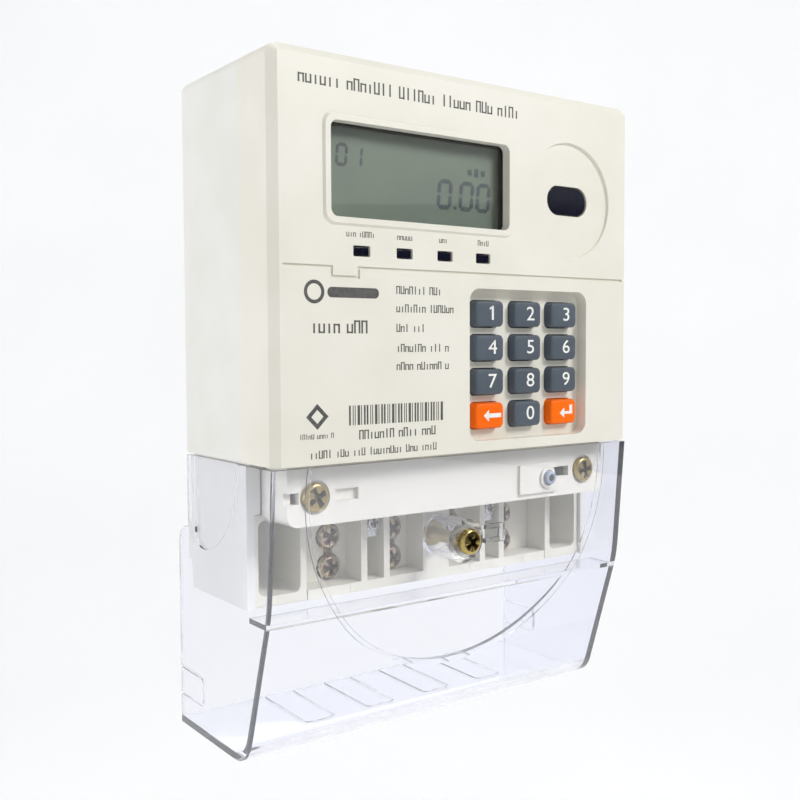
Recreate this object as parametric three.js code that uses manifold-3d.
// Prepaid electricity meter, single phase, for a wall: an ivory case with a display and keypad,
// a terminal block below it, and a clear cover over the terminals.
// Millimetres, +Z up. The wall is the plane Y = 0 and the meter stands off it towards -Y, so a
// "depth" below is the distance in front of the wall. The origin is on the wall, midway between
// the two lower fixing screws.
import * as THREE from "three";
import { mergeVertices } from "three/addons/utils/BufferGeometryUtils.js";
import Module from "manifold-3d";

const wasm = await Module();
wasm.setup();

// ---------------------------------------------------------------- driving dimensions

// Case
const WIDTH = 125;
const TOP_Z = 127.6;
const SKIRT_Z = 26; // lower edge of the full-width case, where the clear cover begins
const CASE_BOTTOM_Z = -12.2;
const DEPTH = 56.7; // wall to the front face
const STANDOFF = 7; // wall to the back of the case
const SPLIT_DEPTH = 40.2; // joint between the base and the front cover
const STEP_SETBACK = 5.9; // the lower step that carries the case screws, behind the front face
const STEP_WIDTH = 112;
const STEP_BOTTOM_Z = 10;
const CASE_WALL = 2.2;
const STEP_WALL = 2;
const CORNER_RADIUS = 3;
const FRONT_CHAMFER = 2.1;
const INSIDE_RADIUS = 0.8; // the least radius of an inside corner
const FIT = 0.3; // gap between pieces that fit together
const CHEEK_DEPTH = 4; // closes the case beside the step, behind the joint
const STEP_OVERLAP = 10; // how far the step's outline runs up behind the face

// Fixing to the wall
const FIXING_SPACING = 102;
const FIXING_HOLE = 6.2;
const FOOT_HEIGHT = 11;
const HANGER_Z = 104;
const HANGER_SIZE = [26, 30];
const HANGER_THICKNESS = 2;
const HANGER_COUNTERBORE = 1.1;
const HANGER_CORNER = 3;
const HANGER_FIX_DROP = 9; // the hanger's own screw, below its middle
const KEYHOLE = 9;
const KEYHOLE_SLOT = 4.8;
const KEYHOLE_TOP = 10.25; // upper end of the slot, above the keyhole's middle
const KEYHOLE_ROOM = 2; // above and round the wall screw's head, behind the hanger

// Clear terminal cover
const COVER_BOTTOM_Z = -52.6;
const COVER_WALL = 1.6;
const COVER_GAP = 0.5; // between the cover's sides and the case inside it
const COVER_SEAM = 0.7; // between the cover's top edge and the case above it
const COVER_LIP_SETBACK = 1; // the cover's top edge, behind the front face
const COVER_KNEE_SETBACK = 3.9;
const COVER_KNEE_Z = -11;
const COVER_KNEE_EASE = 5;
const COVER_TOE_SETBACK = 16.7;
const COVER_TOE_RADIUS = 6;
const COVER_BACK_STEP_Z = [-1, 5]; // the sides step back to the wall between these heights
const ARCH_RADIUS = 53;
const ARCH_Z = 18;
const ARCH_PROUD = 0.4;
const ARCH_PROUD_AT_TOE = 2.6;
const ARCH_BACK = 28;
const ARCH_MARGIN = 3; // from the arched pad to the cover's sides
const GUARD_SHELF_Z = -13.4;
const GUARD_SHELF_THICKNESS = 1.4;
const GUARD_SHELF_BACK = 42;
const SCOOP = { back: 11.2, front: 37, bottom: 0, depth: 0.7, corner: [6, 5] };
const SCOOP_PULL = { low: [14, 1], high: 18 }; // how full the scoop's curve is at its two ends
const KNOCKOUT_GROOVE = 0.7;
const KNOCKOUT_RADIUS = 2;
const SEAL_LUG = { x: 8.6, above: 1.6, length: 7, height: 5.2, thickness: 1.2, rise: 1.8 };
const SEAL_LUG_ROOT = 0.6; // how far the lug runs into the cover's face
const FLOOR_KNOCKOUT = { pitch: 21, width: 10.4, front: 26 };
const SIDE_KNOCKOUT = { bottom: -44.5, top: -36, front: 15.5 };
const BOSS_DIAMETER = 12.4;
const BOSS_BORE = 9;
const BOSS_BACK = 40.7;
const COVER_SCREW_Z = 0.8;

// Terminal block
const BLOCK_TOP_Z = 12;
const BLOCK_DEPTH = 39;
const LANE_BOTTOM_Z = -9.5;
const LANE_TOP_Z = 10.4;
const LANE_BACK = 31; // front of the wall that the terminals sit behind
const PARTITION = 2;
const WELL_WIDTH = 10.9;
const WELL_BACK = 15;
const WELL_RADIUS = 2;
const TERMINAL_WIDTH = 9.4;
const TERMINAL_DEPTH = 11;
const TERMINAL_WALL = 1.5; // plastic in front of a terminal
const TERMINAL_HEIGHT = 15;
const TERMINAL_BORE = 7;
const TERMINAL_BACK_WALL = 1.3;
const TERMINAL_TOP_WALL = 1.5;
const TERMINAL_SCREW_PITCH = 8.5;
const LANE_SLACK = 0.9;
const TERMINAL_SCREW_ROOM = 0.4; // round a screw's head, on each side
const TERMINAL_SLOT = 3; // the slot that joins a terminal's two screw holes
const AUX_TERMINAL = [4.2, 9, 8];
const AUX_WALL = 0.7;
const AUX_SLACK = 0.7;
const AUX_SETBACK = 2; // a small terminal, behind the block's front
const AUX_ENTRY_LIP = 0.3;
const CABLE_ENTRY = 9;
const INSERT_DIAMETER = 7;
const INSERT_LENGTH = 8;

// Screws: head diameter, head height, shank diameter, shank length, cross width
const SCREW_TIP = [0.5, 1]; // the tip's chamfer, across and along
const SCREW_EDGE = 0.45; // the head's chamfer, as a share of its height
const CROSS_SPAN = 0.6; // of the head's diameter
const CROSS_FLOOR = 0.35; // of the head's height
const CASE_SCREW = { head: 7.6, rise: 1.9, shank: 3.8, length: 24, cross: 1.3 };
const CASE_SCREW_COUNTERBORE = { diameter: 8.8, depth: 0.8 };
const TERMINAL_SCREW = { head: 7, rise: 3.2, shank: 4, length: 3.9, cross: 1.2 };
const AUX_SCREW = { head: 3.8, rise: 1.3, shank: 2.2, length: 6, cross: 0.7 };
const COVER_SCREW_HEAD = { head: 7.4, rise: 1.9, shank: 3.8, cross: 1.3 };
const COVER_SCREW_TIP = 1.5; // past the end of its threaded insert
const HANGER_SCREW = { head: 5, rise: 0.7, shank: 2.6, length: 5, cross: 0.8 };
const SCREW_CLEARANCE = 0.3; // round a shank, on each side
const CASE_SCREW_X = 47.9;
const CASE_SCREW_Z = 17.3;
const SEAL_SLOT = [7, 3];
const SEAL_SLOT_FLOOR = 1.2; // the left slot is blind, and the right one goes through
const SEAL_SLOT_OFFSET = 9.6;
const POST_DIAMETER = 9;

// Front face, places measured from the middle of the width
const DISPLAY = { x: -16.8, z: 99.1, width: 58.6, height: 23.5, rim: 2.1, rimRise: 0.7 };
const DISPLAY_CORNER = 2;
const DISPLAY_PANE = 1.5;
const DISPLAY_PANE_EDGE = 2; // behind the face, on each side of the opening
const LCD_THICKNESS = 3;
const LCD_MARGIN = 0.5; // from the opening to the panel, on each side
const LCD_SEAT = 2; // what the panel rests on, on each side
const LCD_HOLDER_EDGE = 2.5; // past the opening, on each side
const LED = { x: -36.7, pitch: 13.36, z: 79.2, width: 5.2, height: 2.74, below: 0.4 };
const GROOVE = { z: 75, width: 0.7, depth: 0.5, jogX: -46, jogRise: 2.4, jogLength: 8, end: 1 };
const OPTICAL = { x: 36.5, z: 97.5, dish: 16.8, dishDepth: 0.8, width: 16.3, height: 8.6 };
const OPTICAL_END_FLAT = 0.1; // half the flat left between its round corners
const OPTICAL_PANE = 1.2;
const DIODE = { offset: 3.5, can: 2.6, shoulder: 2.3, dome: 2.1, tip: 1.2 };
const DIODE_FRONT = { shoulder: 2.4, dome: 1, tip: 0.2 }; // back from the diode's front
const KEYPAD = { x: 21.2, z: 49.95, recess: 3.7, floor: 1.6, margin: [3.05, 3.2], radius: 3.5 };
const KEY_PITCH = [14.4, 9.5];
const KEY_SIZE = [10.4, 7.2];
const KEY_RADIUS = 1.4;
const KEY_BEVEL = 0.6;
const KEY_BELOW_FACE = 0.9;
const KEY_FLANGE = 0.7;
const KEY_FLANGE_THICKNESS = 1.2;
const KEY_TRAVEL = 1.3;
const SWITCH_PLATE = { x: 28.9, z: 16, width: 15.1, height: 8.7, rise: 0.8 };
const SWITCH_BUTTON = { x: 32.4, z: 16, diameter: 4, rise: 1.8, travel: 1.5, edge: 0.5 };
const SWITCH_RING = { diameter: 6.4, rise: 0.6 };
const SWITCH_BUTTON_FLANGE = { width: 1, thickness: 1.2 };
const SWITCH_SIZE = [7, 6.4];

// Inside
const BOARD_DEPTH = DEPTH - 15;
const BOARD_THICKNESS = 1.6;
const BOARD_MARGIN = 4;
const BOARD_SEAT = { diameter: 6, inX: 9, inZ: 7 }; // in from the case wall and the board's edge
const GASKET = 1.6;
const GASKET_HALF_DEPTH = 1.2;
const GASKET_LIFT = 4; // above the skirt
const RELAY = { size: [38, 30, 15], x: -24, z: SKIRT_Z + 28 };
const TRANSFORMER = { bore: 9, diameter: 22, length: 9, x: 14, z: SKIRT_Z + 24 };
const CAPACITOR = { diameter: 16, length: 22, x: 40, z: SKIRT_Z + 26 };
const BATTERY = { diameter: 14.5, length: 20, x: 36, z: TOP_Z - 26 };
const BUZZER = { diameter: 12, length: 8.5, x: -38, z: TOP_Z - 24 };

// Making the shapes
const OVER = 1; // how far a cutter, or a piece to be joined, runs past the surface it meets
const FAR = 400; // past everything
const SEGMENTS = { seat: 10, small: 12, screw: 14, medium: 20, smooth: 24, fine: 48, arch: 72 };

// ---------------------------------------------------------------- values that follow from them

const HALF = WIDTH / 2;
const STEP_DEPTH = DEPTH - STEP_SETBACK;
const LOWER_HALF = HALF - COVER_WALL - COVER_GAP; // the case inside the clear cover
const LOWER_INNER = LOWER_HALF - CASE_WALL;
const FACE_INNER = DEPTH - CASE_WALL;
const BACK_INNER = STANDOFF + CASE_WALL;
const FIXING_X = FIXING_SPACING / 2;
const COVER_TOP_Z = SKIRT_Z - COVER_SEAM;
const COVER_BACK = 0.3;
const LANE_HALF = TERMINAL_WIDTH / 2 + FIT + LANE_SLACK;
const AUX_LANE_HALF = AUX_TERMINAL[0] / 2 + AUX_SLACK;
const TERMINAL_PITCH = 2 * (LANE_HALF + PARTITION + AUX_LANE_HALF);
const TERMINAL_X = [-1.5, -0.5, 0.5, 1.5].map((n) => n * TERMINAL_PITCH);
const TERMINAL_FRONT = LANE_BACK - TERMINAL_WALL - FIT;
const TERMINAL_BACK = TERMINAL_FRONT - TERMINAL_DEPTH;
const BORE_DEPTH = TERMINAL_BACK_WALL + TERMINAL_BORE / 2; // in front of the terminal's back
const TERMINAL_BOTTOM_Z = LANE_BOTTOM_Z + FIT;
const TERMINAL_SCREW_Z = TERMINAL_BOTTOM_Z + TERMINAL_HEIGHT / 2;
const AUX_X = [-TERMINAL_PITCH, TERMINAL_PITCH];
const AUX_FRONT = BLOCK_DEPTH - AUX_SETBACK;
const AUX_Z = LANE_TOP_Z - AUX_TERMINAL[2] / 2 - FIT;
// The outermost lane ends, and an end of the block begins, this far from the middle.
const BLOCK_END_X = Math.max(
  FIXING_X - WELL_WIDTH / 2 - PARTITION,
  1.5 * TERMINAL_PITCH + LANE_HALF,
);
const BLOCK_DEPTHS = [BACK_INNER + FIT, BLOCK_DEPTH];
const COVER_SLOPE = (COVER_KNEE_SETBACK - COVER_LIP_SETBACK) / (COVER_TOP_Z - COVER_KNEE_Z);
const COVER_FACE_AT_SCREW =
  DEPTH - COVER_LIP_SETBACK - COVER_SLOPE * (COVER_TOP_Z - COVER_SCREW_Z) + ARCH_PROUD;
const COVER_SCREW_SEAT = COVER_FACE_AT_SCREW + FIT;
const COVER_SCREW = {
  ...COVER_SCREW_HEAD,
  length: COVER_SCREW_SEAT - BLOCK_DEPTH + INSERT_LENGTH + COVER_SCREW_TIP,
};
const KEYPAD_WIDTH = 2 * KEY_PITCH[0] + KEY_SIZE[0] + 2 * KEYPAD.margin[0];
const KEYPAD_HEIGHT = 3 * KEY_PITCH[1] + KEY_SIZE[1] + 2 * KEYPAD.margin[1];
const KEYPAD_FLOOR = DEPTH - KEYPAD.recess;
const KEYPAD_FLOOR_INNER = KEYPAD_FLOOR - KEYPAD.floor;
const KEY_TOP = DEPTH - KEY_BELOW_FACE;
const KEY_FLANGE_FRONT = KEYPAD_FLOOR_INNER - FIT;
const KEY_FLANGE_BACK = KEY_FLANGE_FRONT - KEY_FLANGE_THICKNESS;
const BOARD_FRONT = BOARD_DEPTH + BOARD_THICKNESS;
const MAT_BACK = BOARD_FRONT + FIT;
const MAT_FRONT = KEY_FLANGE_BACK - KEY_TRAVEL - FIT;
const PANE_FRONT = FACE_INNER - FIT;
const PANE_BACK = PANE_FRONT - DISPLAY_PANE;
const LCD_FRONT = PANE_BACK - FIT;
const LCD_BACK = LCD_FRONT - LCD_THICKNESS;
const OPTICAL_FRONT = DEPTH - OPTICAL.dishDepth - FIT;
const BOARD_Z = [SKIRT_Z + CASE_WALL + BOARD_MARGIN, TOP_Z - CASE_WALL - BOARD_MARGIN];

// ---------------------------------------------------------------- colours

const IVORY = { color: 0xe8e5da, roughness: 0.55, metalness: 0 };
const IVORY_BASE = { color: 0xdedcd4, roughness: 0.6, metalness: 0 };
const IVORY_BLOCK = { color: 0xd9d6c6, roughness: 0.6, metalness: 0 };
const CLEAR = { color: 0xdfe6ee, roughness: 0.1, metalness: 0, transparent: true, opacity: 0.25 };
const SLATE = { color: 0x69717a, roughness: 0.6, metalness: 0 };
const ORANGE = { color: 0xff690f, roughness: 0.5, metalness: 0 };
const GLASS_DARK = { color: 0x10121f, roughness: 0.15, metalness: 0 };
const LCD_GREEN = { color: 0x5f6c5f, roughness: 0.3, metalness: 0 };
const BLACK = { color: 0x101112, roughness: 0.5, metalness: 0 };
const BRASS = { color: 0xc9a860, roughness: 0.3, metalness: 1 };
const NICKEL = { color: 0xc8cacc, roughness: 0.3, metalness: 1 };
const STEEL = { color: 0xb6b9bd, roughness: 0.4, metalness: 1 };
const BOARD_GREEN = { color: 0x1d5c38, roughness: 0.5, metalness: 0 };
const RUBBER = { color: 0xb9bab5, roughness: 0.8, metalness: 0 };
const BLUE = { color: 0x2d4f86, roughness: 0.5, metalness: 0 };

// ---------------------------------------------------------------- solids from three.js shapes

// A closed geometry as a manifold-3d solid.
function solid(geometry) {
  const bare = geometry.index ? geometry.toNonIndexed() : geometry.clone();
  bare.deleteAttribute("normal");
  bare.deleteAttribute("uv");
  const merged = mergeVertices(bare, 1e-4);
  return new wasm.Manifold(
    new wasm.Mesh({
      numProp: 3,
      vertProperties: merged.attributes.position.array,
      triVerts: new Uint32Array(merged.index.array),
    }),
  );
}

// The solid back as a geometry, with flat faces.
function geometryOf(body) {
  const mesh = body.getMesh();
  const geometry = new THREE.BufferGeometry();
  geometry.setAttribute("position", new THREE.BufferAttribute(mesh.vertProperties, 3));
  geometry.setIndex(new THREE.BufferAttribute(mesh.triVerts, 1));
  const flat = geometry.toNonIndexed();
  flat.computeVertexNormals();
  return flat;
}

const join = (first, ...others) => others.reduce((sum, next) => sum.add(next), first);
const cut = (first, ...others) => others.reduce((rest, next) => rest.subtract(next), first);

// A box given by its ranges in X, in depth and in Z.
function block([x0, x1], [d0, d1], [z0, z1]) {
  const geometry = new THREE.BoxGeometry(x1 - x0, d1 - d0, z1 - z0);
  geometry.translate((x0 + x1) / 2, -(d0 + d1) / 2, (z0 + z1) / 2);
  return solid(geometry);
}

// A box given by its middle in X and Z, its size there, and its range in depth.
function slab(x, z, width, height, depths) {
  return block([x - width / 2, x + width / 2], depths, [z - height / 2, z + height / 2]);
}

// A range of distances from the middle, on the left side (-1) or on the right (1).
const onSide = (side, [near, far]) => (side < 0 ? [-far, -near] : [near, far]);

// A rectangle with round corners, as a shape in X and Z.
function roundedRectangle(x, z, width, height, radius) {
  const [left, right] = [x - width / 2, x + width / 2];
  const [low, high] = [z - height / 2, z + height / 2];
  const shape = new THREE.Shape();
  shape.moveTo(left + radius, low);
  shape.lineTo(right - radius, low);
  shape.absarc(right - radius, low + radius, radius, -Math.PI / 2, 0);
  shape.lineTo(right, high - radius);
  shape.absarc(right - radius, high - radius, radius, 0, Math.PI / 2);
  shape.lineTo(left + radius, high);
  shape.absarc(left + radius, high - radius, radius, Math.PI / 2, Math.PI);
  shape.lineTo(left, low + radius);
  shape.absarc(left + radius, low + radius, radius, Math.PI, 1.5 * Math.PI);
  return shape;
}

// A shape in X and Z drawn out from one depth to another.
function drawn(shape, [d0, d1], curveSegments = 2) {
  const geometry = new THREE.ExtrudeGeometry(shape, {
    depth: d1 - d0,
    bevelEnabled: false,
    curveSegments,
  });
  geometry.translate(0, 0, d0);
  geometry.rotateX(Math.PI / 2);
  return solid(geometry);
}

// The same, with its front edge bevelled.
function drawnBevelled(shape, [d0, d1], bevel, curveSegments = 2) {
  const geometry = new THREE.ExtrudeGeometry(shape, {
    depth: d1 - d0,
    bevelThickness: bevel,
    bevelSize: bevel,
    bevelOffset: -bevel,
    bevelSegments: 1,
    curveSegments,
  });
  geometry.translate(0, 0, d0 - bevel);
  geometry.rotateX(Math.PI / 2);
  return solid(geometry).intersect(block([-FAR, FAR], [d0, FAR], [-FAR, FAR]));
}

function roundedBlock(x, z, width, height, radius, depths, curveSegments = 2) {
  return drawn(roundedRectangle(x, z, width, height, radius), depths, curveSegments);
}

// A profile in depth and Z drawn out across the width, evenly about the middle.
function drawnAcross(shape, width, curveSegments = 4) {
  const geometry = new THREE.ExtrudeGeometry(shape, {
    depth: width,
    bevelEnabled: false,
    curveSegments,
  });
  geometry.translate(0, 0, -width / 2);
  const toDepth = new THREE.Vector3(0, -1, 0);
  const toHeight = new THREE.Vector3(0, 0, 1);
  const across = new THREE.Vector3(-1, 0, 0);
  geometry.applyMatrix4(new THREE.Matrix4().makeBasis(toDepth, toHeight, across));
  return solid(geometry);
}

// A round rod along the depth.
function rod(x, z, diameter, [d0, d1], segments = 16) {
  const geometry = new THREE.CylinderGeometry(diameter / 2, diameter / 2, d1 - d0, segments);
  geometry.translate(x, -(d0 + d1) / 2, z);
  return solid(geometry);
}

// A round rod that stands up.
function upright(x, depth, diameter, [z0, z1], segments = 16) {
  const geometry = new THREE.CylinderGeometry(diameter / 2, diameter / 2, z1 - z0, segments);
  geometry.rotateX(Math.PI / 2);
  geometry.translate(x, -depth, (z0 + z1) / 2);
  return solid(geometry);
}

// A profile of radius and depth turned about an axis along the depth.
function turned(profile, segments = 16) {
  const points = profile.map(([radius, depth]) => new THREE.Vector2(radius, depth));
  const geometry = new THREE.LatheGeometry(points, segments);
  geometry.rotateX(Math.PI);
  return solid(geometry);
}

const root = new THREE.Group();

// Puts a named piece into a group, at a place given as X, depth and Z.
function add(group, name, body, finish, [x, depth, z] = [0, 0, 0]) {
  const geometry = body.isBufferGeometry ? body : geometryOf(body);
  const mesh = new THREE.Mesh(geometry, new THREE.MeshStandardMaterial(finish));
  mesh.name = name;
  mesh.position.set(x, -depth, z);
  group.add(mesh);
}

// ---------------------------------------------------------------- screws

// A pan-head screw with a cross recess: its seat is at depth 0 and its head points forward.
function crossScrew({ head, rise, shank, length, cross }, segments = 16) {
  const body = turned(
    [
      [0, -length],
      [shank / 2 - SCREW_TIP[0], -length],
      [shank / 2, -length + SCREW_TIP[1]],
      [shank / 2, 0],
      [head / 2, 0],
      [head / 2, rise * SCREW_EDGE],
      [head / 2 - rise * SCREW_EDGE, rise],
      [0, rise],
    ],
    segments,
  );
  const span = head * CROSS_SPAN;
  const recess = [rise * CROSS_FLOOR, rise + OVER];
  return cut(body, slab(0, 0, span, cross, recess), slab(0, 0, cross, span, recess));
}

// The hole that a screw's shank passes through.
const shankHole = (screw, x, z, depths) =>
  rod(x, z, screw.shank + 2 * SCREW_CLEARANCE, depths);

// ---------------------------------------------------------------- case

// The outline of the full-width case. It is drawn down to the origin, and then cut square.
function caseOutline(inset) {
  const low = inset;
  const high = TOP_Z - inset;
  const radius = Math.max(CORNER_RADIUS - inset, INSIDE_RADIUS);
  return roundedRectangle(0, (low + high) / 2, WIDTH - 2 * inset, high - low, radius);
}

function aboveSkirt(body, inset) {
  return body.intersect(block([-FAR, FAR], [-FAR, FAR], [SKIRT_Z + inset, FAR]));
}

const postPlaces = [-CASE_SCREW_X, CASE_SCREW_X];
const boardPosts = [-1, 1].flatMap((side) =>
  BOARD_Z.map((z, i) => [
    side * (HALF - CASE_WALL - BOARD_SEAT.inX),
    z + (i ? -BOARD_SEAT.inZ : BOARD_SEAT.inZ),
  ]),
);

function base() {
  const depths = [STANDOFF, SPLIT_DEPTH];
  const upper = aboveSkirt(drawn(caseOutline(0), depths), 0);
  const lower = block([-LOWER_HALF, LOWER_HALF], depths, [CASE_BOTTOM_Z, SKIRT_Z + OVER]);
  const hollowDepths = [BACK_INNER, SPLIT_DEPTH + OVER];
  const upperHollow = aboveSkirt(drawn(caseOutline(CASE_WALL), hollowDepths), CASE_WALL);
  const lowerHollow = block([-LOWER_INNER, LOWER_INNER], hollowDepths, [
    CASE_BOTTOM_Z - OVER,
    SKIRT_Z + CASE_WALL + OVER,
  ]);
  const shell = cut(join(upper, lower), upperHollow, lowerHollow);
  const foot = slab(0, 0, 2 * LOWER_INNER, FOOT_HEIGHT, [0, STANDOFF + OVER]);
  const hangerPad = slab(0, HANGER_Z, HANGER_SIZE[0], HANGER_SIZE[1], [
    HANGER_THICKNESS + FIT,
    STANDOFF + OVER,
  ]);
  const posts = postPlaces.map((x) =>
    rod(x, CASE_SCREW_Z, POST_DIAMETER, [STANDOFF + OVER, SPLIT_DEPTH - FIT]),
  );
  const pedestal = block(
    [SWITCH_BUTTON.x - SWITCH_SIZE[0] / 2, SWITCH_BUTTON.x + SWITCH_SIZE[0] / 2],
    [STANDOFF + OVER, SPLIT_DEPTH - FIT],
    [BLOCK_TOP_Z + FIT, SWITCH_BUTTON.z + SWITCH_SIZE[1] / 2],
  );
  const cheeks = [-1, 1].map((side) =>
    block(
      onSide(side, [STEP_WIDTH / 2 + FIT, LOWER_INNER + OVER]),
      [SPLIT_DEPTH - CHEEK_DEPTH, SPLIT_DEPTH - FIT],
      [BLOCK_TOP_Z + FIT, SKIRT_Z + CASE_WALL + OVER],
    ),
  );
  const boardSeats = boardPosts.map(([x, z]) =>
    rod(x, z, BOARD_SEAT.diameter, [STANDOFF + OVER, BOARD_DEPTH - FIT], SEGMENTS.seat),
  );
  const fixings = [-FIXING_X, FIXING_X].map((x) =>
    rod(x, 0, FIXING_HOLE, [-OVER, BACK_INNER + OVER]),
  );
  const threads = postPlaces.map((x) =>
    shankHole(CASE_SCREW, x, CASE_SCREW_Z, [
      STEP_DEPTH - CASE_SCREW.length - OVER,
      SPLIT_DEPTH + OVER,
    ]),
  );
  const hangerHead = rod(0, HANGER_Z + KEYHOLE_ROOM, KEYHOLE + KEYHOLE_ROOM, [
    -OVER,
    STANDOFF - OVER,
  ]);
  const hangerThread = shankHole(HANGER_SCREW, 0, HANGER_Z - HANGER_FIX_DROP, [
    -OVER,
    HANGER_COUNTERBORE + HANGER_SCREW.length,
  ]);
  return cut(
    join(shell, foot, hangerPad, pedestal, ...cheeks, ...posts, ...boardSeats),
    ...fixings,
    ...threads,
    hangerHead,
    hangerThread,
  );
}

const keyPlaces = [0, 1, 2, 3].flatMap((row) =>
  [0, 1, 2].map((column) => [
    KEYPAD.x + (column - 1) * KEY_PITCH[0],
    KEYPAD.z + (1.5 - row) * KEY_PITCH[1],
  ]),
);
const ledPlaces = [0, 1, 2, 3].map((n) => LED.x + n * LED.pitch);

// The two shells of the front: the full-width face and the narrower step below it.
function frontShell() {
  const face = aboveSkirt(drawnBevelled(caseOutline(0), [SPLIT_DEPTH, DEPTH], FRONT_CHAMFER), 0);
  const hollowDepths = [SPLIT_DEPTH - OVER, FACE_INNER];
  const faceHollow = aboveSkirt(drawn(caseOutline(CASE_WALL), hollowDepths), CASE_WALL);
  const stepHigh = SKIRT_Z + STEP_OVERLAP;
  const stepOutline = (inset) => [
    0,
    (STEP_BOTTOM_Z + stepHigh) / 2,
    STEP_WIDTH - 2 * inset,
    stepHigh - STEP_BOTTOM_Z - 2 * inset,
    CORNER_RADIUS - inset / 2,
  ];
  const step = roundedBlock(...stepOutline(0), [SPLIT_DEPTH, STEP_DEPTH]);
  const stepHollow = roundedBlock(...stepOutline(STEP_WALL), [
    SPLIT_DEPTH - OVER,
    STEP_DEPTH - STEP_WALL,
  ]);
  return cut(join(face, step), faceHollow, stepHollow);
}

// The shallow line across the face, with one plain jog near the left.
function faceGroove() {
  const { z, width, depth, jogX, jogRise, jogLength, end } = GROOVE;
  const depths = [DEPTH - depth, DEPTH + OVER];
  const reach = HALF - FRONT_CHAMFER - end;
  const left = block([-reach, jogX + width], depths, [z - width / 2, z + width / 2]);
  const top = z - jogRise;
  const jogEnd = jogX + jogLength;
  const down = block([jogX, jogX + width], depths, [top - width / 2, z + width / 2]);
  const low = block([jogX, jogEnd + width], depths, [top - width / 2, top + width / 2]);
  const up = block([jogEnd, jogEnd + width], depths, [top - width / 2, z + width / 2]);
  const right = block([jogEnd, reach], depths, [z - width / 2, z + width / 2]);
  return join(left, down, low, up, right);
}

function frontCover() {
  const rim = roundedBlock(
    DISPLAY.x,
    DISPLAY.z,
    DISPLAY.width + 2 * DISPLAY.rim,
    DISPLAY.height + 2 * DISPLAY.rim,
    CORNER_RADIUS,
    [DEPTH - OVER, DEPTH + DISPLAY.rimRise],
  );
  const keypadBox = roundedBlock(
    KEYPAD.x,
    KEYPAD.z,
    KEYPAD_WIDTH + 2 * KEYPAD.floor,
    KEYPAD_HEIGHT + 2 * KEYPAD.floor,
    KEYPAD.radius + KEYPAD.floor,
    [KEYPAD_FLOOR_INNER, FACE_INNER + OVER],
  );
  const switchPlate = slab(
    SWITCH_PLATE.x,
    SWITCH_PLATE.z,
    SWITCH_PLATE.width,
    SWITCH_PLATE.height,
    [STEP_DEPTH - OVER, STEP_DEPTH + SWITCH_PLATE.rise],
  );
  const buttonX = SWITCH_BUTTON.x;
  const buttonZ = SWITCH_BUTTON.z;
  const plateFace = STEP_DEPTH + SWITCH_PLATE.rise;
  const ringFace = plateFace + SWITCH_RING.rise;
  const buttonRing = rod(buttonX, buttonZ, SWITCH_RING.diameter, [STEP_DEPTH - OVER, ringFace]);
  const posts = postPlaces.map((x) =>
    rod(x, CASE_SCREW_Z, POST_DIAMETER, [SPLIT_DEPTH, STEP_DEPTH - OVER]),
  );
  const body = join(frontShell(), rim, keypadBox, switchPlate, buttonRing, ...posts);

  const displayHole = roundedBlock(
    DISPLAY.x,
    DISPLAY.z,
    DISPLAY.width,
    DISPLAY.height,
    DISPLAY_CORNER,
    [FACE_INNER - OVER, DEPTH + DISPLAY.rimRise + OVER],
  );
  const ledHoles = ledPlaces.map((x) =>
    slab(x, LED.z, LED.width, LED.height, [FACE_INNER - OVER, DEPTH + OVER]),
  );
  const dish = rod(OPTICAL.x, OPTICAL.z, 2 * OPTICAL.dish, [
    DEPTH - OPTICAL.dishDepth,
    DEPTH + OVER,
  ], SEGMENTS.fine);
  const opticalHole = roundedBlock(
    OPTICAL.x,
    OPTICAL.z,
    OPTICAL.width,
    OPTICAL.height,
    OPTICAL.height / 2 - OPTICAL_END_FLAT,
    [FACE_INNER - OVER, DEPTH],
    5,
  );
  const recess = roundedBlock(KEYPAD.x, KEYPAD.z, KEYPAD_WIDTH, KEYPAD_HEIGHT, KEYPAD.radius, [
    KEYPAD_FLOOR,
    DEPTH + OVER,
  ], 4);
  const keyHoles = keyPlaces.map(([x, z]) =>
    roundedBlock(x, z, KEY_SIZE[0] + 2 * FIT, KEY_SIZE[1] + 2 * FIT, KEY_RADIUS + FIT, [
      KEYPAD_FLOOR_INNER - OVER,
      KEYPAD_FLOOR + OVER,
    ]),
  );
  const screwHoles = postPlaces.map((x) =>
    shankHole(CASE_SCREW, x, CASE_SCREW_Z, [SPLIT_DEPTH - OVER, STEP_DEPTH + OVER]),
  );
  const slotFloors = [STEP_DEPTH - SEAL_SLOT_FLOOR, STEP_DEPTH - STEP_WALL - OVER];
  const sealSlots = [-1, 1].map((side, i) =>
    slab(side * (CASE_SCREW_X - SEAL_SLOT_OFFSET), CASE_SCREW_Z, ...SEAL_SLOT, [
      slotFloors[i],
      STEP_DEPTH + OVER,
    ]),
  );
  const counterbores = postPlaces.map((x) =>
    rod(
      x,
      CASE_SCREW_Z,
      CASE_SCREW_COUNTERBORE.diameter,
      [STEP_DEPTH - CASE_SCREW_COUNTERBORE.depth, STEP_DEPTH + OVER],
      SEGMENTS.smooth,
    ),
  );
  const endNotches = [-1, 1].map((side) =>
    slab((side * STEP_WIDTH) / 2, CASE_SCREW_Z, SEAL_SLOT[0], SEAL_SLOT[1], [
      STEP_DEPTH - STEP_WALL,
      STEP_DEPTH + OVER,
    ]),
  );
  const buttonHole = rod(buttonX, buttonZ, SWITCH_BUTTON.diameter + 2 * FIT, [
    STEP_DEPTH - STEP_WALL - OVER,
    ringFace + OVER,
  ]);
  return cut(
    body,
    displayHole,
    dish,
    opticalHole,
    recess,
    faceGroove(),
    buttonHole,
    ...ledHoles,
    ...keyHoles,
    ...screwHoles,
    ...counterbores,
    ...sealSlots,
    ...endNotches,
  );
}

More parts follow.
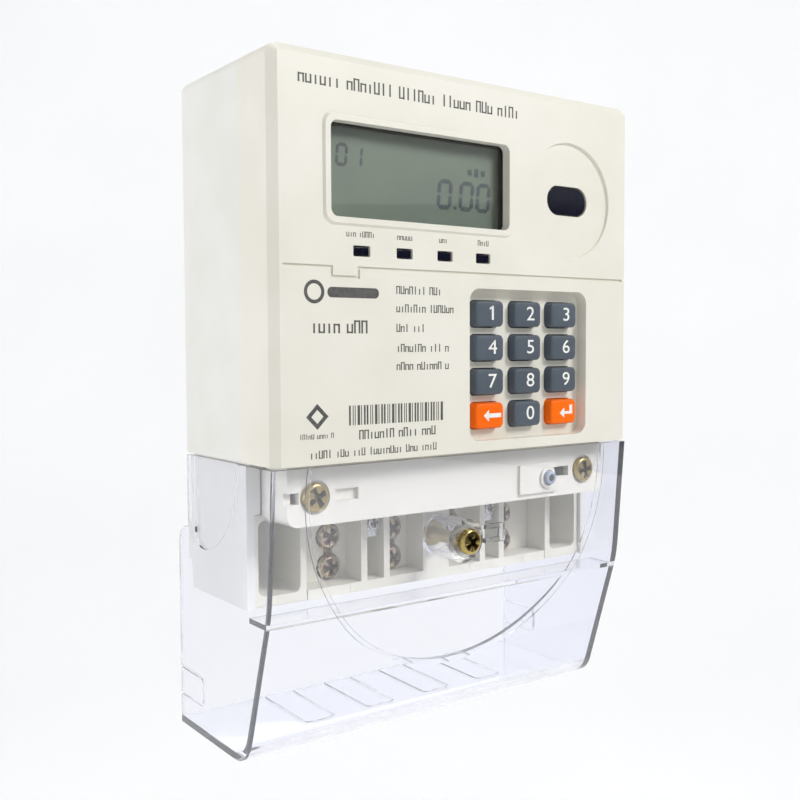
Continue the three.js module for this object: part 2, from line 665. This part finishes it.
// The soft ring inside the joint of the two shells.
function gasket() {
  const depths = [SPLIT_DEPTH - GASKET_HALF_DEPTH, SPLIT_DEPTH + GASKET_HALF_DEPTH];
  const inset = CASE_WALL + FIT;
  const outer = aboveSkirt(drawn(caseOutline(inset), depths), inset + GASKET_LIFT);
  const inner = aboveSkirt(
    drawn(caseOutline(inset + GASKET), [depths[0] - OVER, depths[1] + OVER]),
    inset + GASKET_LIFT + GASKET,
  );
  return cut(outer, inner);
}

const caseGroup = new THREE.Group();
root.add(caseGroup);
add(caseGroup, "base", base(), IVORY_BASE);
add(caseGroup, "front_cover", frontCover(), IVORY);
add(caseGroup, "case_gasket", gasket(), RUBBER);
postPlaces.forEach((x, i) =>
  add(caseGroup, i ? "case_screw_right" : "case_screw_left", crossScrew(CASE_SCREW), BRASS, [
    x,
    STEP_DEPTH - CASE_SCREW_COUNTERBORE.depth + FIT,
    CASE_SCREW_Z,
  ]),
);

// ---------------------------------------------------------------- display, lamps and optical port

// A slab behind the display's opening, wider and higher than it by an edge on every side.
function displaySlab(edge, depths) {
  const { x, z, width, height } = DISPLAY;
  return slab(x, z, width + 2 * edge, height + 2 * edge, depths);
}

function lcdHolder() {
  const ring = displaySlab(LCD_HOLDER_EDGE, [BOARD_FRONT + FIT, LCD_FRONT]);
  const seat = displaySlab(FIT - LCD_MARGIN, [LCD_BACK - FIT, LCD_FRONT + OVER]);
  const lightWell = displaySlab(-LCD_MARGIN - LCD_SEAT, [BOARD_FRONT, LCD_FRONT]);
  return cut(ring, seat, lightWell);
}

const displayGroup = new THREE.Group();
root.add(displayGroup);
add(
  displayGroup,
  "display_window",
  displaySlab(DISPLAY_PANE_EDGE, [PANE_BACK, PANE_FRONT]),
  CLEAR,
);
add(displayGroup, "lcd_holder", lcdHolder(), BLACK);
add(displayGroup, "lcd_panel", displaySlab(-LCD_MARGIN, [LCD_BACK, LCD_FRONT]), LCD_GREEN);
ledPlaces.forEach((x, i) =>
  add(
    displayGroup,
    "led_window_" + (i + 1),
    slab(0, 0, LED.width - 2 * FIT, LED.height - 2 * FIT, [BOARD_FRONT + FIT, DEPTH - LED.below]),
    GLASS_DARK,
    [x, 0, LED.z],
  ),
);

function opticalWindow() {
  const width = OPTICAL.width - 2 * FIT;
  const height = OPTICAL.height - 2 * FIT;
  const radius = height / 2 - OPTICAL_END_FLAT;
  return roundedBlock(0, 0, width, height, radius, [-OPTICAL_PANE, 0], 5);
}

// A receiver or sender diode: a domed cap on a short can.
function diode() {
  const length = OPTICAL_FRONT - OPTICAL_PANE - FIT - BOARD_FRONT - FIT;
  return turned([
    [0, 0],
    [DIODE.can, 0],
    [DIODE.can, length - DIODE_FRONT.shoulder],
    [DIODE.shoulder, length - DIODE_FRONT.shoulder],
    [DIODE.dome, length - DIODE_FRONT.dome],
    [DIODE.tip, length - DIODE_FRONT.tip],
    [0, length],
  ], SEGMENTS.small);
}

add(displayGroup, "optical_window", opticalWindow(), GLASS_DARK, [
  OPTICAL.x,
  OPTICAL_FRONT,
  OPTICAL.z,
]);
["optical_sender", "optical_receiver"].forEach((name, i) =>
  add(displayGroup, name, diode(), BLACK, [
    OPTICAL.x + (i ? DIODE.offset : -DIODE.offset),
    BOARD_FRONT + FIT,
    OPTICAL.z,
  ]),
);

// ---------------------------------------------------------------- keypad

function key() {
  const cap = drawnBevelled(
    roundedRectangle(0, 0, KEY_SIZE[0], KEY_SIZE[1], KEY_RADIUS),
    [KEY_FLANGE_BACK + KEY_FLANGE_THICKNESS / 2, KEY_TOP],
    KEY_BEVEL,
  );
  const flange = slab(0, 0, KEY_SIZE[0] + 2 * KEY_FLANGE, KEY_SIZE[1] + 2 * KEY_FLANGE, [
    KEY_FLANGE_BACK,
    KEY_FLANGE_FRONT,
  ]);
  return join(cap, flange);
}

const keyNames = "1 2 3 4 5 6 7 8 9 delete 0 enter".split(" ");
const keyShape = geometryOf(key());
const keypadGroup = new THREE.Group();
root.add(keypadGroup);
keyPlaces.forEach(([x, z], i) => {
  const finish = keyNames[i].length > 1 ? ORANGE : SLATE;
  add(keypadGroup, "key_" + keyNames[i], keyShape, finish, [x, 0, z]);
});
add(
  keypadGroup,
  "keypad_mat",
  slab(KEYPAD.x, KEYPAD.z, KEYPAD_WIDTH, KEYPAD_HEIGHT, [MAT_BACK, MAT_FRONT]),
  RUBBER,
);

// ---------------------------------------------------------------- inside the case

function circuitBoard() {
  const width = WIDTH - 2 * CASE_WALL - 2 * BOARD_MARGIN;
  const middle = (BOARD_Z[0] + BOARD_Z[1]) / 2;
  return slab(0, middle, width, BOARD_Z[1] - BOARD_Z[0], [BOARD_DEPTH, BOARD_FRONT]);
}

// The current transformer: a ring round the live conductor, lying parallel to the board.
function currentTransformer() {
  const [inner, outer] = [TRANSFORMER.bore / 2, TRANSFORMER.diameter / 2];
  return turned([
    [inner, -TRANSFORMER.length],
    [outer, -TRANSFORMER.length],
    [outer, 0],
    [inner, 0],
    [inner, -TRANSFORMER.length],
  ], SEGMENTS.medium);
}

function can({ diameter, length }) {
  return turned([
    [0, -length],
    [diameter / 2, -length],
    [diameter / 2, 0],
    [0, 0],
  ]);
}

const insideGroup = new THREE.Group();
root.add(insideGroup);
add(insideGroup, "circuit_board", circuitBoard(), BOARD_GREEN);

// Puts a piece on the back of the board, at its place.
function addBehindBoard(name, body, finish, { x, z }) {
  add(insideGroup, name, body, finish, [x, BOARD_DEPTH - FIT, z]);
}

const [relayWidth, relayHeight, relayDepth] = RELAY.size;
const relay = slab(0, 0, relayWidth, relayHeight, [-relayDepth, 0]);
addBehindBoard("latching_relay", relay, BLACK, RELAY);
addBehindBoard("current_transformer", currentTransformer(), BLUE, TRANSFORMER);
addBehindBoard("supply_capacitor", can(CAPACITOR), BLUE, CAPACITOR);
addBehindBoard("backup_battery", can(BATTERY), NICKEL, BATTERY);
addBehindBoard("buzzer", can(BUZZER), BLACK, BUZZER);

// ---------------------------------------------------------------- terminals

// The moulding is in three: a middle with the lanes, and two ends with a fixing well each. An
// end's inner wall closes the outermost lane, which reaches out to it.
function lanes() {
  const [outer, inner] = [1.5 * TERMINAL_PITCH, 0.5 * TERMINAL_PITCH];
  const ranges = [
    [inner - LANE_HALF, inner + LANE_HALF],
    [outer - LANE_HALF, BLOCK_END_X + OVER],
  ];
  return [-1, 1].flatMap((side) => ranges.map((range) => onSide(side, range)));
}

function terminalBlock() {
  const half = BLOCK_END_X - FIT;
  const body = block([-half, half], BLOCK_DEPTHS, [CASE_BOTTOM_Z, BLOCK_TOP_Z]);
  const laneDepths = [LANE_BACK, BLOCK_DEPTH + OVER];
  const screwRoomDepths = [TERMINAL_FRONT, LANE_BACK + OVER];
  const cells = lanes().map((range) => block(range, laneDepths, [LANE_BOTTOM_Z, LANE_TOP_Z]));
  const pockets = TERMINAL_X.flatMap((x) => [
    slab(x, TERMINAL_SCREW_Z, TERMINAL_WIDTH + 2 * FIT, TERMINAL_HEIGHT + 2 * FIT, [
      TERMINAL_BACK - FIT,
      TERMINAL_FRONT + FIT,
    ]),
    slab(x, TERMINAL_SCREW_Z, TERMINAL_SLOT, TERMINAL_SCREW_PITCH, screwRoomDepths),
    ...[-1, 1].map((side) =>
      rod(
        x,
        TERMINAL_SCREW_Z + (side * TERMINAL_SCREW_PITCH) / 2,
        TERMINAL_SCREW.head + 2 * TERMINAL_SCREW_ROOM,
        screwRoomDepths,
      ),
    ),
  ]);
  const entries = TERMINAL_X.map((x) =>
    upright(x, TERMINAL_BACK + BORE_DEPTH, CABLE_ENTRY, [
      CASE_BOTTOM_Z - OVER,
      LANE_BOTTOM_Z + OVER,
    ]),
  );
  const auxLanes = AUX_X.map((x) =>
    block([x - AUX_LANE_HALF, x + AUX_LANE_HALF], [
      AUX_FRONT - AUX_TERMINAL[1] - FIT,
      BLOCK_DEPTH + OVER,
    ], [LANE_BOTTOM_Z, LANE_TOP_Z]),
  );
  const auxEntries = AUX_X.map((x) =>
    upright(x, AUX_FRONT - AUX_TERMINAL[1] / 2, 2 * (AUX_LANE_HALF - AUX_ENTRY_LIP), [
      CASE_BOTTOM_Z - OVER,
      LANE_BOTTOM_Z + OVER,
    ]),
  );
  const insertHole = rod(0, COVER_SCREW_Z, INSERT_DIAMETER + 2 * FIT, [
    BLOCK_DEPTH - INSERT_LENGTH - FIT,
    BLOCK_DEPTH + OVER,
  ]);
  const screwTip = shankHole(COVER_SCREW, 0, COVER_SCREW_Z, [
    COVER_SCREW_SEAT - COVER_SCREW.length - OVER,
    BLOCK_DEPTH,
  ]);
  return cut(
    body,
    ...cells,
    ...pockets,
    ...entries,
    ...auxLanes,
    ...auxEntries,
    insertHole,
    screwTip,
  );
}

// An end of the block, with the well and the hole for a wall screw.
function blockEnd(side) {
  const x = side * FIXING_X;
  const middle = (LANE_BOTTOM_Z + LANE_TOP_Z) / 2;
  const body = block(onSide(side, [BLOCK_END_X, LOWER_INNER - FIT]), BLOCK_DEPTHS, [
    CASE_BOTTOM_Z,
    BLOCK_TOP_Z,
  ]);
  const well = roundedBlock(x, middle, WELL_WIDTH, LANE_TOP_Z - LANE_BOTTOM_Z, WELL_RADIUS, [
    WELL_BACK,
    BLOCK_DEPTH + OVER,
  ]);
  return cut(body, well, rod(x, 0, FIXING_HOLE, [BACK_INNER, WELL_BACK + OVER]));
}

// A brass terminal: the conductor comes up into its bore and two screws clamp it.
function terminal() {
  const body = slab(0, 0, TERMINAL_WIDTH, TERMINAL_HEIGHT, [0, TERMINAL_DEPTH]);
  const top = TERMINAL_HEIGHT / 2;
  const bore = upright(0, BORE_DEPTH, TERMINAL_BORE, [-top - OVER, top - TERMINAL_TOP_WALL]);
  const holes = [-1, 1].map((side) =>
    shankHole(TERMINAL_SCREW, 0, (side * TERMINAL_SCREW_PITCH) / 2, [
      BORE_DEPTH,
      TERMINAL_DEPTH + OVER,
    ]),
  );
  return cut(body, bore, ...holes);
}

function auxTerminal() {
  const [width, depth, height] = AUX_TERMINAL;
  const body = slab(0, 0, width, height, [-depth, 0]);
  const bore = upright(
    0,
    -depth / 2,
    width - 2 * AUX_WALL,
    [-height / 2 - OVER, height / 2 - TERMINAL_TOP_WALL],
    SEGMENTS.small,
  );
  return cut(body, bore, shankHole(AUX_SCREW, 0, 0, [-depth / 2, OVER]));
}

function threadedInsert() {
  const tube = rod(0, 0, INSERT_DIAMETER, [-INSERT_LENGTH, 0]);
  return cut(tube, shankHole(COVER_SCREW, 0, 0, [-INSERT_LENGTH - OVER, OVER]));
}

const terminalGroup = new THREE.Group();
root.add(terminalGroup);
add(terminalGroup, "terminal_block", terminalBlock(), IVORY_BLOCK);
add(terminalGroup, "terminal_block_end_left", blockEnd(-1), IVORY_BLOCK);
add(terminalGroup, "terminal_block_end_right", blockEnd(1), IVORY_BLOCK);
const terminalShape = geometryOf(terminal());
const terminalScrewShape = geometryOf(crossScrew(TERMINAL_SCREW, SEGMENTS.screw));
TERMINAL_X.forEach((x, i) => {
  const holder = new THREE.Group();
  holder.position.set(x, -TERMINAL_BACK, TERMINAL_SCREW_Z);
  terminalGroup.add(holder);
  add(holder, "terminal_" + (i + 1), terminalShape, BRASS);
  ["upper", "lower"].forEach((place, j) =>
    add(
      holder,
      "terminal_screw_" + (i + 1) + "_" + place,
      terminalScrewShape,
      BRASS,
      [0, TERMINAL_DEPTH + FIT, ((j ? -1 : 1) * TERMINAL_SCREW_PITCH) / 2],
    ),
  );
});
AUX_X.forEach((x, i) => {
  const holder = new THREE.Group();
  holder.position.set(x, -AUX_FRONT, AUX_Z);
  terminalGroup.add(holder);
  add(holder, "aux_terminal_" + (i + 1), auxTerminal(), NICKEL);
  add(holder, "aux_screw_" + (i + 1), crossScrew(AUX_SCREW, SEGMENTS.small), NICKEL, [0, FIT, 0]);
});
add(terminalGroup, "cover_screw_insert", threadedInsert(), BRASS, [0, BLOCK_DEPTH, COVER_SCREW_Z]);

// ---------------------------------------------------------------- clear cover

// The cover's side profile. "proud" and "proudAtToe" move its face forward, and "inset" moves the
// whole outline in by a wall.
function coverProfile({ inset, proud = 0, proudAtToe = 0 }) {
  const lip = DEPTH - COVER_LIP_SETBACK + proud - inset;
  const knee = DEPTH - COVER_KNEE_SETBACK + proud - inset;
  const toe = DEPTH - COVER_TOE_SETBACK + proudAtToe - inset;
  const bottom = COVER_BOTTOM_Z + inset;
  const top = inset ? COVER_TOP_Z + 1 : COVER_TOP_Z;
  const back = inset ? -1 : COVER_BACK;
  const slope = (knee - toe) / (COVER_KNEE_Z - bottom);
  const shape = new THREE.Shape();
  shape.moveTo(back, bottom);
  shape.lineTo(toe - COVER_TOE_RADIUS, bottom);
  shape.quadraticCurveTo(toe, bottom, toe + slope * COVER_TOE_RADIUS, bottom + COVER_TOE_RADIUS);
  const ease = COVER_KNEE_EASE;
  shape.lineTo(knee - slope * ease, COVER_KNEE_Z - ease);
  shape.quadraticCurveTo(knee, COVER_KNEE_Z, knee + COVER_SLOPE * ease, COVER_KNEE_Z + ease);
  shape.lineTo(lip + (inset ? COVER_SLOPE : 0), top);
  if (inset) {
    shape.lineTo(back, top);
    return shape;
  }
  const [stepLow, stepHigh] = COVER_BACK_STEP_Z;
  shape.lineTo(STANDOFF - COVER_GAP, top);
  shape.lineTo(STANDOFF - COVER_GAP, stepHigh);
  shape.quadraticCurveTo(COVER_BACK, stepHigh, COVER_BACK, stepLow);
  return shape;
}

// The arched pad on the cover's face stands a little proud, more so towards the bottom.
function archedPad(inset) {
  const profile = coverProfile({ inset, proud: ARCH_PROUD, proudAtToe: ARCH_PROUD_AT_TOE });
  const depths = [ARCH_BACK, DEPTH + ARCH_PROUD + OVER];
  const arch = rod(0, ARCH_Z, 2 * (ARCH_RADIUS - inset), depths, SEGMENTS.arch);
  return drawnAcross(profile, WIDTH - 2 * (inset + ARCH_MARGIN)).intersect(arch);
}

// A shape in X and Y drawn up from one height to another.
function drawnUp(shape, [z0, z1]) {
  const geometry = new THREE.ExtrudeGeometry(shape, {
    depth: z1 - z0,
    bevelEnabled: false,
    curveSegments: 3,
  });
  geometry.translate(0, 0, z0);
  return solid(geometry);
}

// The groove round a knock-out in the cover's floor: it starts at the wall and has round corners.
function floorKnockout(x) {
  const { width, front } = FLOOR_KNOCKOUT;
  const floor = COVER_BOTTOM_Z + COVER_WALL;
  const panel = (inset, heights) => {
    const [near, far] = [-front + inset, KNOCKOUT_RADIUS + 2];
    const middle = (near + far) / 2;
    const radius = KNOCKOUT_RADIUS - inset;
    return drawnUp(
      roundedRectangle(x, middle, width - 2 * inset, far - near, radius),
      heights,
    );
  };
  const outer = panel(0, [floor - KNOCKOUT_GROOVE, floor + OVER]);
  return cut(outer, panel(KNOCKOUT_GROOVE, [floor - 2, floor + 2]));
}

// The outer skin of both sides of the cover, as deep as a groove or a scoop cut into it.
function onBothSides(shape, depth) {
  const through = drawnAcross(shape, WIDTH + 2 * OVER, 6);
  return cut(through, block([-HALF + depth, HALF - depth], [-FAR, FAR], [-FAR, FAR]));
}

function sideKnockouts() {
  const { bottom, top, front } = SIDE_KNOCKOUT;
  const panel = (inset) => {
    const [near, far] = [-KNOCKOUT_RADIUS - 2, front - inset];
    const height = top - bottom - 2 * inset;
    const middle = (bottom + top) / 2;
    return roundedRectangle((near + far) / 2, middle, far - near, height, KNOCKOUT_RADIUS - inset);
  };
  return cut(
    onBothSides(panel(0), KNOCKOUT_GROOVE),
    onBothSides(panel(KNOCKOUT_GROOVE), KNOCKOUT_GROOVE + OVER),
  );
}

// The shallow thumb scoops on the two sides: a D with its round side down and forward.
function scoops() {
  const { back, front, bottom, depth, corner } = SCOOP;
  const high = COVER_TOP_Z + OVER;
  const low = bottom + corner[1];
  const pull = SCOOP_PULL;
  const shape = new THREE.Shape();
  shape.moveTo(back, high);
  shape.lineTo(back, low);
  shape.quadraticCurveTo(back, bottom, back + corner[0], bottom);
  shape.bezierCurveTo(
    back + pull.low[0],
    bottom + pull.low[1],
    front,
    high - pull.high,
    front,
    high,
  );
  return onBothSides(shape, depth);
}

// The lug beside the cover's screw, two bars and a stop that a seal wire goes round.
function sealLug() {
  const { x, above, length, height, thickness, rise } = SEAL_LUG;
  const face = COVER_FACE_AT_SCREW;
  const z = COVER_SCREW_Z + above;
  const frame = slab(x, z, length, height, [face - SEAL_LUG_ROOT, face + rise]);
  const gap = slab(x - thickness, z, length, height - 2 * thickness, [
    face,
    face + rise + OVER,
  ]);
  return cut(frame, gap);
}

function terminalCover() {
  const outer = join(drawnAcross(coverProfile({ inset: 0 }), WIDTH), archedPad(0));
  const inner = join(
    drawnAcross(coverProfile({ inset: COVER_WALL }), WIDTH - 2 * COVER_WALL),
    archedPad(COVER_WALL),
  );
  const sides = HALF - COVER_WALL / 2;
  const shelf = block([-sides, sides], [GUARD_SHELF_BACK, DEPTH], [
    GUARD_SHELF_Z - GUARD_SHELF_THICKNESS,
    GUARD_SHELF_Z,
  ]);
  const insideOuter = drawnAcross(coverProfile({ inset: COVER_WALL / 2 }), WIDTH - COVER_WALL);
  const bossDepths = [BOSS_BACK, COVER_FACE_AT_SCREW - OVER];
  const boss = rod(0, COVER_SCREW_Z, BOSS_DIAMETER, bossDepths, SEGMENTS.smooth);
  const shell = join(cut(outer, inner), shelf.intersect(insideOuter), boss, sealLug());
  const boreDepths = [BOSS_BACK - OVER, COVER_FACE_AT_SCREW - COVER_WALL];
  const bore = rod(0, COVER_SCREW_Z, BOSS_BORE, boreDepths, SEGMENTS.medium);
  const screwHole = shankHole(COVER_SCREW, 0, COVER_SCREW_Z, [BOSS_BACK, DEPTH + OVER]);
  const knockouts = [-1.5, -0.5, 0.5, 1.5].map((n) => floorKnockout(n * FLOOR_KNOCKOUT.pitch));
  return cut(shell, bore, screwHole, sideKnockouts(), scoops(), ...knockouts);
}

const coverGroup = new THREE.Group();
root.add(coverGroup);
add(coverGroup, "terminal_cover", terminalCover(), CLEAR);
add(coverGroup, "cover_screw", crossScrew(COVER_SCREW), BRASS, [
  0,
  COVER_SCREW_SEAT,
  COVER_SCREW_Z,
]);

// ---------------------------------------------------------------- cover-open switch and hanger

function switchButton() {
  const { diameter, rise, edge } = SWITCH_BUTTON;
  const { width, thickness } = SWITCH_BUTTON_FLANGE;
  const front = STEP_DEPTH + SWITCH_PLATE.rise + rise;
  const inner = STEP_DEPTH - STEP_WALL - FIT;
  return turned([
    [0, inner - thickness],
    [diameter / 2 + width, inner - thickness],
    [diameter / 2 + width, inner],
    [diameter / 2, inner],
    [diameter / 2, front - edge],
    [diameter / 2 - edge, front],
    [0, front],
  ]);
}

add(coverGroup, "cover_switch_button", switchButton(), STEEL, [
  SWITCH_BUTTON.x,
  0,
  SWITCH_BUTTON.z,
]);

// The switch that the button works, on its pedestal in the base.
const switchFront =
  STEP_DEPTH - STEP_WALL - SWITCH_BUTTON_FLANGE.thickness - SWITCH_BUTTON.travel - 2 * FIT;
add(coverGroup, "cover_switch", slab(0, 0, ...SWITCH_SIZE, [SPLIT_DEPTH, switchFront]), BLACK, [
  SWITCH_BUTTON.x,
  0,
  SWITCH_BUTTON.z,
]);

// The steel hanger on the back: a plate with a keyhole that drops over the upper wall screw.
function hanger() {
  const [width, height] = HANGER_SIZE;
  const plate = roundedBlock(0, 0, width, height, HANGER_CORNER, [0, HANGER_THICKNESS]);
  const through = [-OVER, HANGER_THICKNESS + OVER];
  const headHole = rod(0, 0, KEYHOLE, through, SEGMENTS.medium);
  const slot = slab(0, KEYHOLE_TOP / 2, KEYHOLE_SLOT, KEYHOLE_TOP, through);
  const fixing = shankHole(HANGER_SCREW, 0, -HANGER_FIX_DROP, through);
  const counterbore = rod(0, -HANGER_FIX_DROP, HANGER_SCREW.head + 2 * FIT, [
    -OVER,
    HANGER_COUNTERBORE,
  ]);
  return cut(plate, join(headHole, slot), fixing, counterbore);
}

const hangerGroup = new THREE.Group();
hangerGroup.position.z = HANGER_Z;
root.add(hangerGroup);
add(hangerGroup, "hanger_plate", hanger(), STEEL);

// The hanger's screw goes in from the wall side, so it is turned round and its head points back.
const fromBehind = new THREE.Group();
fromBehind.position.set(0, -(HANGER_COUNTERBORE - FIT), -HANGER_FIX_DROP);
fromBehind.rotation.z = Math.PI;
hangerGroup.add(fromBehind);
add(fromBehind, "hanger_screw", crossScrew(HANGER_SCREW, SEGMENTS.small), NICKEL);

export default root;
